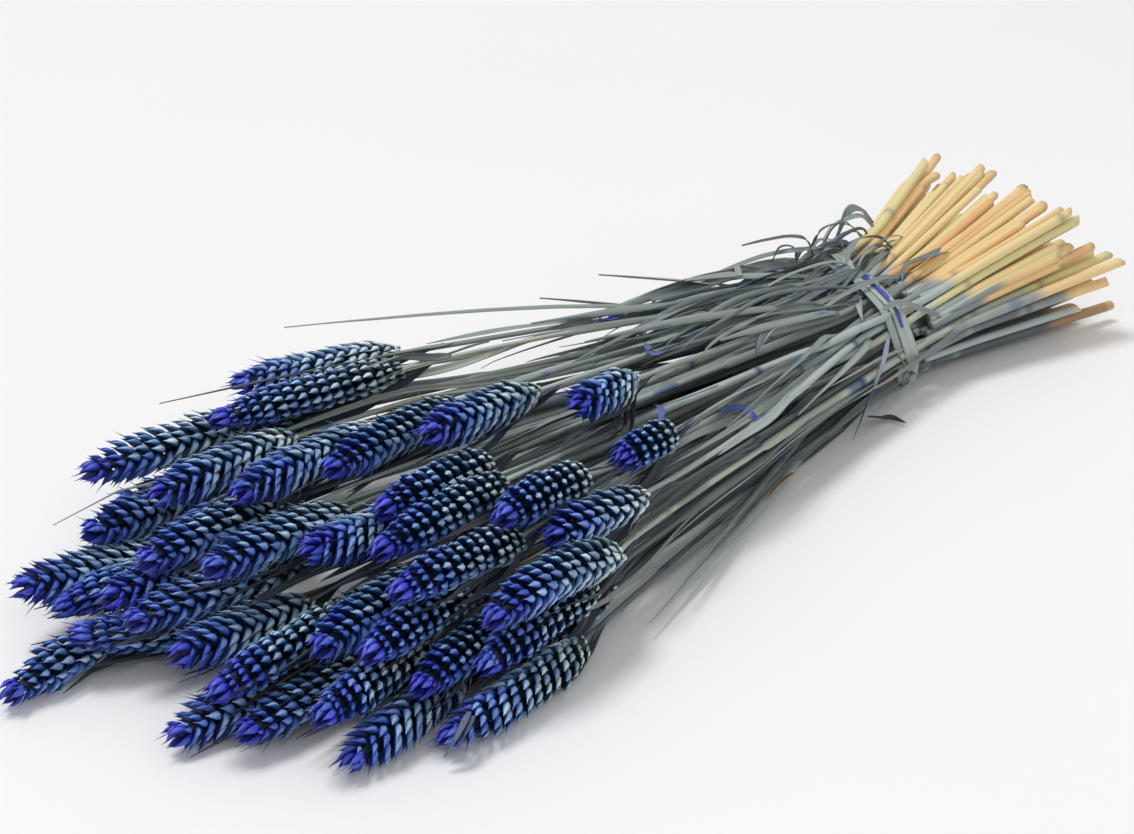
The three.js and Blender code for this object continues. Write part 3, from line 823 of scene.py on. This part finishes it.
def set_stage():
    camera = placed("camera", bpy.data.cameras.new("camera"))
    camera.data.sensor_width = SENSOR_MM
    camera.data.lens = LENS_PX / PHOTO[0] * SENSOR_MM
    camera.data.clip_end = 20
    turn = Matrix.Rotation(-CAMERA_TURN, 4, "Z") @ Matrix.Rotation(pi / 2 - CAMERA_DOWN, 4, "X")
    camera.matrix_world = Matrix.Translation(CAMERA) @ turn
    bpy.context.scene.camera = camera

    mesh = bpy.data.meshes.new("surface")
    corners = np.array([(-1, -1, -1), (1, -1, -1), (1, 1, -1), (-1, 1, -1)])
    corners = corners * (FLOOR_HALF, FLOOR_HALF, FLOOR_DROP)
    mesh.from_pydata(corners.tolist(), [], [(0, 1, 2, 3)])
    mesh.materials.append(floor_material())
    floor = placed("surface", mesh)

    world = bpy.data.worlds.new("studio")
    world.use_nodes = True
    background = world.node_tree.nodes["Background"]
    background.inputs[0].default_value = WORLD_COLOUR
    background.inputs[1].default_value = WORLD_STRENGTH
    bpy.context.scene.world = world
    bpy.context.scene.view_settings.view_transform = "Standard"
    for name, place, size, power in LAMPS:
        lamp = bpy.data.lights.new(name, "AREA")
        lamp.shape = "DISK"
        lamp.size = size
        lamp.energy = power
        holder = placed(name, lamp)
        direction = unit(-np.array(place))
        across = unit(np.cross(direction, UP))
        rows = np.stack([across, np.cross(across, direction), -direction], axis=1)
        holder.matrix_world = Matrix.Translation(place) @ Matrix(rows.tolist()).to_4x4()


# The bunch's upper side

class Surface:
    """The height of the bunch's upper side over a grid of small cells, and where camera rays meet it."""

    def __init__(self):
        low, high = np.array(CAD_BOX[0]), np.array(CAD_BOX[1])
        self.low = low[:2] - 5 * CELL
        shape = np.ceil((high[:2] - self.low) / CELL).astype(int) + 5
        self.height = np.zeros(shape)
        for track in TRACKS:
            self.raise_to(track, 2.3 * MM)
        for ear in EARS.values():
            self.raise_to(ear.middle(np.linspace(0, 1, 40)), 0.85 * ear.radius)

    def raise_to(self, path, radius):
        reach = int(radius / CELL) + 1
        for i in range(-reach, reach + 1):
            for j in range(-reach, reach + 1):
                rise = radius**2 - (i * i + j * j) * CELL**2
                if rise > 0:
                    cells = self.cells(path) + (i, j)
                    np.maximum.at(self.height, (cells[:, 0], cells[:, 1]), path[:, 2] + rise**0.5)

    def cells(self, points):
        cells = np.floor((np.atleast_2d(points)[:, :2] - self.low) / CELL).astype(int)
        return np.clip(cells, 3, np.array(self.height.shape) - 4)

    def over(self, points, spread=1):
        """The greatest height within a few cells of each point."""
        cells = self.cells(points)
        heights = [
            self.height[cells[:, 0] + i, cells[:, 1] + j]
            for i in range(-spread, spread + 1)
            for j in range(-spread, spread + 1)
        ]
        return np.max(heights, axis=0)

    def depth(self, points):
        """How deep points lie in the bunch, from 0 on its upper side to 1 well below."""
        counts = (points[:, 0] < TIE[0] + 30 * MM) | (points[:, 2] < 28 * MM)
        return smooth_step(self.over(points, 3) - points[:, 2], 6 * MM, 34 * MM) * counts

    def seen_at(self, pixel, lift=0.0):
        """Where the ray through a pixel of the photograph meets the bunch or the table, lifted a little."""
        right, up = (pixel[0] - PHOTO[0] / 2) / LENS_PX, (PHOTO[1] / 2 - pixel[1]) / LENS_PX
        ray = VIEW_INTO + right * VIEW_RIGHT + up * VIEW_UP
        heights = np.arange(110 * MM, 0, -0.5 * MM)[:, None]
        points = CAMERA + (heights - CAMERA[2]) / ray[2] * ray
        surface = self.over(points)
        above = points[:, 2] - surface - lift
        below = np.nonzero((above <= 0) & (surface > 0))[0]
        if len(below):
            return points[below[0]]
        nearest = np.argmin(np.where(surface > 0, above, 1.0))
        return points[nearest] if above[nearest] < PASSING_BY else points[-1] + (0, 0, lift)


# Stalks, and the leaves of the solids

def strand_of(foot):
    """The strand whose stalk begins at an ear's foot."""
    def gap(strand):
        k = int(np.searchsorted(strand.slices, foot[0] + 2 * MM))
        stalks = strand.round[k] if k < len(strand.slices) else []
        return min((norm(middle - foot[1:]) for middle in stalks), default=1.0)
    return min(STRANDS, key=lambda name: gap(STRANDS[name]))


def finish_piece(build, name, slot, *replaced):
    piece = build.make(name, stem_finish)
    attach(piece, "root")
    if replaced:
        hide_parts(*replaced)


def dye_along(path, rng):
    """1 where a stalk is dyed and 0 where it is bare straw; the lower it lies, the farther the dye goes."""
    behind = path[np.argmin(np.abs(path[:, 0] - TIE[0] - LEVEL_BEHIND))]
    level = (behind - TIE) @ VIEW_UP
    turning = TIE[0] + np.interp(level, DYE_LEVELS, DYE_ENDS) + rng.normal(0, DYE_SPREAD) * MM
    return 1 - smooth_step(path[:, 0], turning, turning + DYE_FADE)


def make_stalk(build, rng, path):
    """One stalk from its ear to its cut end: bare neck, then leaf sheaths and knots, then straw."""
    lengthways = run_along(path)
    total = lengthways[-1]
    sheath = rng.uniform(*SHEATH_START) * MM
    knots = [sheath + rng.uniform(*FIRST_KNOT) * MM]
    knots.append(knots[0] + rng.uniform(*NEXT_KNOT) * MM)
    at_knots = [place + np.array(KNOT_POINTS) * MM for place in (*knots, sheath)]
    fine = np.unique(np.concatenate([np.arange(0, total, STALK_STEP), *at_knots]))
    fine = np.append(fine[(fine >= 0) & (fine < total - 3 * MM)], total)
    points = np.stack([np.interp(fine, lengthways, path[:, axis]) for axis in range(3)], axis=1)
    thin, thick, straw = (rng.uniform(*radius) * MM for radius in NECK_SHEATH_STRAW)
    radii = thin + (thick - thin) * smooth_step(fine, sheath - 2 * MM, sheath + 3 * MM)
    radii += (straw - thick) * smooth_step(points[:, 0], TIE[0] - 20 * MM, TIE[0] + 60 * MM)
    knot = np.max([np.exp(-(((fine - place) / KNOT_SPREAD) ** 2)) for place in knots], axis=0)
    radii += KNOT_RISE * knot
    dye = dye_along(points, rng)
    add_straw(
        build, points, radii, cut_end(rng),
        lengthways=fine, pick=rng.uniform(0, 1), dye=dye, knot=knot * np.maximum(dye, 0.5),
        # Painted shade, darker the deeper the stalk lies in the bunch
        dark=DEEP_PAINTED_SHADE * SURFACE.depth(points),
    )


def make_leaf(build, rng, path, half_vectors):
    """A leaf of the solids, made finer and folded along its midrib."""
    path, half_vectors = np.array(path), np.array(half_vectors)
    forward = unit(np.gradient(path, axis=0))
    half_vectors -= forward * (half_vectors * forward).sum(axis=1, keepdims=True)
    for k in range(1, len(path)):
        if half_vectors[k] @ half_vectors[k - 1] < 0:
            half_vectors[k] *= -1
    half = norm(half_vectors, axis=1)
    add_blade(
        build, path, half, LEAF_THICKNESS, unit(half_vectors), LEAF_FOLD,
        lengthways=run_along(path), pick=rng.uniform(0.1, 0.6), dye=1.0,
    )


def make_stalks():
    rng = np.random.default_rng(11)
    for name, strand in STRANDS.items():
        build = Build(STEM_VALUES)
        for ear_name in ears_of[name]:
            make_stalk(build, rng, TRACK_OF[ear_name])
        for path, half_vectors in leaf_tracks(strand):
            make_leaf(build, rng, path, half_vectors)
        finish_piece(build, name.replace("strand", "stalks"), "stalk", name)


# Strips of leaf

def wander(rng, count, reach):
    """A smooth random curve in three dimensions, from 0 to about reach away."""
    knots = np.cumsum(rng.normal(0, 1, (5, 3)), axis=0)
    knots -= knots[0]
    places = np.linspace(0, 4, count)
    curve = np.stack([np.interp(places, np.arange(5), knots[:, axis]) for axis in range(3)], axis=1)
    return eased(curve, count // 3) * reach / 2


def along_track(track, start_x, end_x, count):
    """Points of a track between two x values, evenly spaced."""
    x = np.linspace(start_x, end_x, count)
    return np.stack([x] + [np.interp(x, track[:, 0], track[:, axis]) for axis in (1, 2)], axis=1)


def across_of(path, roll):
    """The directions of a strip's edges, turned by roll about its path from lying flat."""
    _, side, up = path_axes(path)
    return np.cos(roll)[:, None] * side + np.sin(roll)[:, None] * up


def rounded(corners, count):
    """A smooth curve through a few points."""
    corners = np.array(corners, float)
    before = np.concatenate([[2 * corners[0] - corners[1]], corners[:-1]])
    after = np.concatenate([corners[1:], [2 * corners[-1] - corners[-2]]])
    slopes = (after - before) / 2
    places = np.linspace(0, len(corners) - 1, count)
    k = np.minimum(places.astype(int), len(corners) - 2)
    t = (places - k)[:, None]
    return (
        (2 * t**3 - 3 * t**2 + 1) * corners[k]
        + (t**3 - 2 * t**2 + t) * slopes[k]
        + (3 * t**2 - 2 * t**3) * corners[k + 1]
        + (t**3 - t**2) * slopes[k + 1]
    )


def strip(
    build, rng, path, half_width, turns=0.0, *,
    roll=None, thickness=0.35 * MM, point=0.35, fold=None, **values,
):
    """A dried leaf along a path, broad at its root and drawn out to a point."""
    path = np.array(path)
    path[:, 2] = np.maximum(path[:, 2], OFF_TABLE + half_width)
    t = np.linspace(0, 1, len(path))
    drawn_out = ((1 - t) / point) ** 0.8
    half = half_width * np.minimum(1, 0.45 + 4 * t) * np.minimum(1, drawn_out) + 0.15 * MM
    if roll is None:
        roll = rng.uniform(-1.2, 1.2)
    if fold is None:
        fold = rng.uniform(0.2, 0.7)
    # Painted shade, darker below the bunch's upper side, unless the values give their own
    settings = {
        "lengthways": run_along(path), "pick": rng.uniform(0, 1), "dye": 1.0,
        "dark": DEEP_PAINTED_SHADE * SURFACE.depth(path), **values,
    }
    add_blade(build, path, half, thickness, across_of(path, roll + turns * t), fold, **settings)


def leaves_among_stalks(build, rng, points=22):
    """Leaf blades that leave a stalk's sheath and lie along it towards the ears."""
    t = np.linspace(0, 1, points)[:, None]
    for _ in range(STALK_LEAVES):
        track = TRACKS[rng.integers(len(TRACKS))]
        root = rng.uniform(TIE[0] - 260 * MM, TIE[0] + 40 * MM)
        tip = max(root - rng.uniform(90, 230) * MM, track[0, 0] - 30 * MM)
        if root - tip < 60 * MM:
            continue
        path = along_track(track, root, tip, points)
        away = unit(rng.normal(0, 1, 3) * (0.2, 1.0, 0.8))
        apart = 2 * MM + rng.uniform(1, 7) * MM * smooth_step(t, 0, 0.6)
        path += away * apart + wander(rng, points, 3 * MM)
        strip(build, rng, path, rng.uniform(0.9, 2.4) * MM, rng.normal(0, 1.2))


def leaves_among_ears(build, rng):
    """Leaves painted near black as shade, which fill the gaps under and between the ears."""
    for name, ear in EARS.items():
        foot, centre = ear.middle(0)[0], ear.middle(0.5)
        near = sorted(EARS.values(), key=lambda other: norm(other.middle(0.5) - centre))
        for _ in range(LEAVES_PER_EAR):
            behind = along_track(TRACK_OF[name], foot + 22 * MM, foot + 4 * MM, 4)
            places = np.linspace(0.06, rng.uniform(0.6, 1.0), 14)
            neighbour = near[1 + rng.integers(4)]
            towards = neighbour.middle(places) - ear.middle(places)
            towards *= norm(towards[0]) < 60 * MM
            share = rng.uniform(0.0, 0.6) * smooth_step(places, 0, 0.5)
            path = np.concatenate([behind, ear.middle(places) + share[:, None] * towards])
            t = np.linspace(0, 1, len(path))[:, None]
            aside = np.array([0.0, rng.uniform(-6, 6) * MM, rng.uniform(-16, -6) * MM])
            path += aside * smooth_step(t, 0, 0.5) + wander(rng, len(path), 3 * MM)
            # A low pick and a high shade value paint these leaves near black, as painted shade
            strip(
                build, rng, path, rng.uniform(1.0, 2.2) * MM, rng.normal(0, 1.0),
                pick=rng.uniform(0, 0.3), dark=rng.uniform(0.6, 1.0), tint=rng.uniform(0, 0.3),
            )


def leaves_on_far_edge(build, rng, points=24):
    """The mass of curled leaves on top of the far side, between the tie and the ears."""
    t = np.linspace(0, 1, points)[:, None]
    hump = np.sin(pi * t**0.6) ** 0.7
    far = sorted(TRACKS, key=lambda track: -VIEW_UP @ along_track(track, 0.1, 0.1, 1)[0])[:8]
    for _ in range(FAR_LEAVES):
        track = far[rng.integers(len(far))]
        root = TIE[0] + rng.uniform(-60, 50) * MM
        length = rng.uniform(90, 190) if root < TIE[0] else rng.uniform(40, 110)
        path = along_track(track, root, root - length * MM, points)
        lift = np.array([0.0, rng.uniform(0.2, 0.9), rng.uniform(0.6, 1.0)]) * rng.uniform(4, 17) * MM
        path += lift * hump + wander(rng, points, 4 * MM)
        strip(build, rng, path, rng.uniform(1.0, 2.6) * MM, rng.normal(0, 2.0), pick=rng.uniform(0, 0.5))


def extra_straws(build, rng, points=34):
    """Straws without an ear of their own between the others, behind the tie."""
    ends = np.array([track[-1] for track in TRACKS])
    widening = 0.75 + 0.25 * np.linspace(0, 1, points) ** 0.5
    for _ in range(EXTRA_STRAWS):
        first = rng.integers(len(TRACKS))
        gaps = norm(ends - ends[first], axis=1)
        second = np.argsort(gaps)[rng.integers(1, 12)]
        end_x = min(ends[first][0], ends[second][0]) - rng.uniform(-4, 22) * MM
        share = rng.uniform(0.25, 0.75)
        both = [along_track(TRACKS[k], TIE[0] - 5 * MM, end_x, points) for k in (first, second)]
        path = share * both[0] + (1 - share) * both[1]
        radii = rng.uniform(2.3, 2.9) * MM * widening
        path[:, 2] = np.maximum(path[:, 2], radii)
        add_straw(
            build, path, radii, cut_end(rng),
            lengthways=path[:, 0], pick=rng.uniform(0, 1), dye=dye_along(path, rng),
        )


# Values of strips: bare and brown, and curled with painted shade
BROWN = {"dye": 0.1, "pick": 0.0}
CURL = {"pick": 0.1, "dark": 0.4}
SMALL_CURL = {"pick": 0.2, "dark": 0.3}

# Small leaves that can be told apart in the photograph: the pixels along each, how far each of these
# lies above the bunch in millimetres, the half width in millimetres, and the strip's values.
SEEN_LEAVES = (
    (((602, 321), (614, 318), (627, 311)), (1, 2, 3), 2.6, {"tint": 0.75}),
    (((684, 317), (697, 314), (708, 315)), (1, 2, 2), 1.4, {"tint": 0.85}),
    (((700, 325), (724, 317), (752, 309)), (1, 2, 1), 2.4, BROWN),
    (((768, 304), (790, 298), (812, 290)), (1, 2, 1), 2.8, BROWN),
    (((776, 327), (768, 333), (761, 345), (756, 357)), (2, 5, 3, 1), 2.6, {"tint": 0.25, "pick": 0.9}),
    (((722, 411), (740, 410), (760, 420)), (1, 3, 2), 2.4, {"tint": 0.8}),
    (((646, 344), (652, 354), (664, 352)), (1, 2, 2), 1.8, {"tint": 0.6}),
    (((655, 405), (662, 412), (659, 424)), (1, 3, 2), 1.4, {"tint": 0.8}),
    (((742, 246), (770, 240), (790, 237), (806, 240), (812, 254)), (3, 12, 16, 12, 3), 1.2, CURL),
    (((812, 246), (822, 230), (838, 224), (852, 226)), (4, 11, 12, 8), 1.1, CURL),
    (((772, 262), (780, 248), (792, 247), (796, 258), (786, 262)), (3, 7, 8, 5, 3), 0.9, SMALL_CURL),
    (((796, 262), (802, 250), (812, 249), (816, 260)), (3, 7, 8, 4), 0.9, SMALL_CURL),
    (((700, 283), (740, 266), (770, 256), (806, 250), (836, 246)), (2, 5, 8, 7, 3), 2.4, {"pick": 0.25}),
    (((650, 300), (690, 290), (730, 276), (776, 266), (826, 262)), (2, 3, 5, 5, 2), 2.8, {"pick": 0.15}),
    # These three leaves carry painted shade
    (((470, 712), (458, 738), (444, 758)), (0, 2, 1), 1.7, {"tint": 0.35, "dark": 0.3}),
    (((474, 716), (466, 734), (456, 750)), (0, 3, 1), 1.5, {"tint": 0.3, "dark": 0.3}),
    (((868, 417), (886, 421), (906, 426)), (1, 1, 0), 1.6, {"dark": 0.75}),
    (((794, 473), (780, 486), (766, 501)), (1, 1, 0), 2.0, {"dye": 0.0, "pick": 0.0}),
)


def seen_path(pixels, lifts, points):
    """A smooth path by its pixels in the photograph and its heights above the bunch."""
    corners = [SURFACE.seen_at(pixel, lift * MM) for pixel, lift in zip(pixels, lifts)]
    return rounded(corners, points)


def seen_leaves(build, rng):
    for pixels, lifts, half_width, values in SEEN_LEAVES:
        path = seen_path(pixels, lifts, 18)
        strip(build, rng, path, half_width * MM, 0.6, roll=rng.uniform(-0.5, 0.5), **values)


# The tie

class Waist:
    """The tie's way round the stalks, in its own slanted and leaning plane."""

    def __init__(self):
        held = []
        for track in TRACKS:
            off = (track - TIE) @ THROUGH + BAND_LEAN * track[:, 2]
            k = int(np.nonzero(off > 0)[0][0])
            share = off[k] / (off[k] - off[k - 1])
            held.append(track[k] + share * (track[k - 1] - track[k]))
        flat = np.stack([(np.array(held) - TIE) @ SIDEWAYS, np.array(held)[:, 2]], axis=1)
        self.middle = (flat.min(axis=0) + flat.max(axis=0)) / 2
        self.ways = np.linspace(0, 2 * pi, 72, endpoint=False)
        outwards = np.stack([np.cos(self.ways), np.sin(self.ways)])
        self.out = ((flat - self.middle) @ outwards).max(axis=0) + HELD_RADIUS

    def round(self, start, end, layer, shifts):
        """Points round the waist between two angles in degrees: 0 is the far side and 90 the top."""
        angles = np.radians(np.linspace(start, end, BAND_POINTS))
        facing = np.cos(angles[:, None] - self.ways)
        reach = np.where(facing > 0.05, self.out / np.maximum(facing, 0.05), 1.0).min(axis=1) + layer
        aside = self.middle[0] + reach * np.cos(angles)
        height = np.maximum(self.middle[1] + reach * np.sin(angles), 0.3 * MM + layer * 0.2)
        places = np.linspace(0, 1, BAND_POINTS)
        shift = np.interp(places, np.linspace(0, 1, len(shifts)), shifts)
        path = TIE * (1, 1, 0) + aside[:, None] * SIDEWAYS + height[:, None] * UP
        path += (shift - BAND_LEAN * height)[:, None] * THROUGH
        return eased(path, 2)


# Each strip round the waist: its start and end in degrees, how far out it lies and how it shifts
# along the stalks in millimetres, its half width, and its values
BAND_STRIPS = (
    (75, 455, 0.5, (-2, 1, 2, 0, -1), 3.6, {"pick": 0.35, "tint": 0.12}),
    (60, 430, 1.0, (2, -3, -1, 3, 1), 3.2, {"pick": 0.5, "tint": 0.05}),
    (80, 300, 1.5, (4, 3, 1, 2), 3.0, {"pick": 0.95, "tint": 0.12}),
    (95, 330, 1.4, (-3, -5, -2, -4), 2.4, {"pick": 0.6}),
    (20, 100, 1.6, (3, 0, -1), 3.4, {"pick": 0.8}),
    (92, 140, 2.8, (3, 2, 3), 1.6, {"tint": 0.85}),
    (96, 162, 3.1, (1, 3, 1), 0.9, {"tint": 0.7}),
    (100, 260, 2.2, (-1, 0, -2, 0), 1.6, {"pick": 0.9}),
)

# Its loose ends and the strips over its knot, by pixels as the small leaves above, some with painted shade
BAND_ENDS = (
    (((848, 272), (855, 290), (860, 306), (863, 321)), (5, 4, 3, 1), 2.0, {"pick": 0.85}),
    (((838, 274), (832, 290), (822, 308)), (4, 3, 1), 1.3, {"tint": 0.6, "dark": 0.3}),
    (((836, 243), (842, 253), (850, 266), (856, 276)), (5, 6, 6, 4), 2.1, {"pick": 0.95}),
    (((828, 284), (838, 276), (852, 270), (866, 262)), (4, 6, 6, 3), 2.2, {"pick": 0.5, "dark": 0.25}),
    (((846, 262), (866, 252), (880, 246), (896, 240)), (5, 7, 6, 3), 1.6, {"pick": 0.3, "dark": 0.2}),
    (
        ((889, 335), (884, 362), (872, 394), (862, 420), (853, 440)), (4, 5, 5, 4, 1), 1.3,
        {"pick": 0.6, "tint": 0.2},
    ),
    (((897, 352), (908, 374), (903, 388), (886, 400), (876, 412)), (4, 6, 5, 3, 1), 1.3, {"pick": 0.7}),
    (((900, 345), (912, 366), (910, 384), (898, 392)), (4, 5, 4, 2), 2.4, {"pick": 0.5}),
    (((884, 310), (900, 304), (925, 312), (950, 318)), (4, 4, 3, 1), 2.0, {"pick": 0.3}),
)

# The folded strips of the knot's pad: their turn, half length, half width and rise in millimetres
KNOT_PAD = ((0.35, 14, 6.0, 1.5), (-0.6, 11, 5.0, 2.6), (1.3, 10, 4.0, 2.2))
BAND_POINTS = 60


def knot_pad(build, rng, middle):
    """The lumpy pad of folded strips under the strips that bind the knot, with painted shade."""
    t = np.linspace(-1, 1, 15)
    for turn, length, width, rise in KNOT_PAD:
        along = cos(turn) * SIDEWAYS - sin(turn) * THROUGH
        bend = rise * (1 - t**2) * MM
        path = middle + (t * length * MM)[:, None] * along + bend[:, None] * UP
        strip(
            build, rng, path, width * MM, 0.3, roll=0.1, thickness=1.6 * MM, point=0.5, fold=-0.25,
            pick=0.45, dark=0.3,
        )


def make_tie(rng):
    build = Build(STEM_VALUES)
    waist = Waist()
    for start, end, layer, shifts, half_width, values in BAND_STRIPS:
        path = waist.round(start, end, layer * MM, np.array(shifts) * MM)
        unevenness = 1 + 0.08 * np.sin(np.linspace(0, 17, len(path)))
        half = np.full(len(path), half_width * MM) * unevenness
        half[0] = half[-1] = 0.5 * half_width * MM
        across = np.broadcast_to(THROUGH, path.shape)
        settings = {"lengthways": np.linspace(0, 0.16, len(path)), "dye": 1.0, **values}
        add_blade(build, path, half, LEAF_THICKNESS, across, 0.06, **settings)
    knot_pad(build, rng, SURFACE.seen_at(KNOT_PIXEL, 7 * MM))
    for pixels, lifts, half_width, values in BAND_ENDS:
        path = seen_path(pixels, lifts, 20)
        strip(build, rng, path, half_width * MM, 0.8, roll=0.2, **values)
    finish_piece(build, "raffia_tie", "tie", "tie")


# The whole bunch

TIE = underside("tie")
CAMERA = TIE * (1, 1, 0) + CAMERA_FROM_TIE
set_stage()
EARS = {name: Ear(name) for name in sorted(frame["nodes"]) if name.startswith("ear")}
STRANDS = {name: Strand(name) for name in sorted(frame["nodes"]) if name.startswith("strand")}

husk_finish = ear_material()
for number, name in enumerate(EARS, start=1):
    piece = make_ear(name, number, husk_finish)
    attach(piece, "root")
    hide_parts(name)

ears_of = {}
for name, ear in EARS.items():
    ears_of.setdefault(strand_of(ear.middle(0)), []).append(name)
TRACK_OF = {}
for name, strand in STRANDS.items():
    starts = [EARS[ear_name].middle(0) for ear_name in ears_of[name]]
    TRACK_OF.update(zip(ears_of[name], strand_tracks(strand, starts, TIE[0])))
TRACKS = [TRACK_OF[name] for name in EARS]
SURFACE = Surface()

stem_finish = stem_material("dyed_stalk")
make_stalks()
scattered = (leaves_among_stalks, leaves_among_ears, leaves_on_far_edge, extra_straws, seen_leaves)
for seed, fill in enumerate(scattered, start=21):
    build = Build(STEM_VALUES)
    fill(build, np.random.default_rng(seed))
    finish_piece(build, fill.__name__, "stalk")
make_tie(np.random.default_rng(26))
